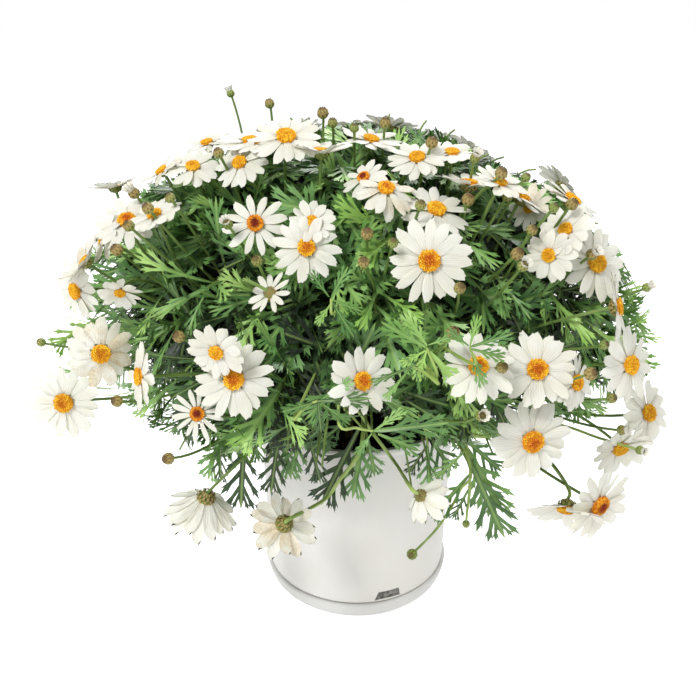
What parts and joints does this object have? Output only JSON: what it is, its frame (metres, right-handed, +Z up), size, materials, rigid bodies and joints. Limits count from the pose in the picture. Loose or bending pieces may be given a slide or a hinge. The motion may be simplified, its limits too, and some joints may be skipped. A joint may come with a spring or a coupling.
{
  "type": "potted marguerite daisy",
  "caption": "Bushy white marguerite daisy with finely cut leaves, flowers and buds, growing in a round plastic pot that stands in a shallow saucer.",
  "frame": {"origin": "centre of the saucer's underside, where it meets the surface it stands on", "axes": "+Z up along the pot's axis, -Y towards the side with most flowers, +X to that viewer's right"},
  "size_m": [0.5384, 0.5245, 0.5012],
  "materials": {
    "pot_plastic": "white satin moulded plastic, softly glossy",
    "saucer_plastic": "white satin moulded plastic, a little greyer than the pot",
    "slot_plastic": "matt grey grate in a shallow recess of the pot wall",
    "potting_mix": "damp near-black peat and bark fibres",
    "foliage": "semi-matt green leaves and light green stalks with a faint bloom",
    "petals": "soft matt white petals round an orange-yellow disc of tiny florets"
  },
  "bodies": {
    "root": {"saucer": "saucer_plastic", "pot": "pot_plastic", "water_slot": "slot_plastic", "potting_mix": "potting_mix", "leafy_branch_1": "foliage", "leafy_branch_2": "foliage", "leafy_branch_3": "foliage", "leafy_branch_4": "foliage", "leafy_branch_5": "foliage", "leafy_branch_6": "foliage", "leafy_branch_7": "foliage", "bloom_02": "petals", "bloom_03": "petals", "bloom_09": "petals", "bloom_13": "petals", "bloom_14": "petals", "bloom_15": "petals", "bloom_16": "petals", "bloom_17": "petals", "bloom_18": "petals", "bloom_19": "petals", "bloom_20": "petals", "bloom_23": "petals", "bloom_27": "petals", "bloom_28": "petals", "bloom_29": "petals", "bloom_32": "petals", "bloom_36": "petals", "bloom_37": "petals", "bloom_38": "petals", "bloom_41": "petals", "bloom_42": "petals", "bloom_47": "petals", "bloom_48": "petals", "bloom_49": "petals", "bloom_51": "petals", "bloom_52": "petals", "bloom_53": "petals", "bunch_01": "petals", "bunch_04": "petals", "bunch_06": "petals", "bunch_08": "petals", "bunch_11": "petals", "bunch_21": "petals", "bunch_24": "petals", "bunch_26": "petals", "bunch_31": "petals", "bunch_34": "petals", "bunch_39": "petals", "bunch_43": "petals", "bunch_45": "petals", "bunch_53": "petals", "bunch_55": "petals", "bunch_57": "petals", "bunch_59": "petals", "bunch_61": "petals", "bunch_63": "petals", "bunch_65": "petals", "bunch_67": "petals", "bunch_69": "petals"}
  },
  "joints": []
}
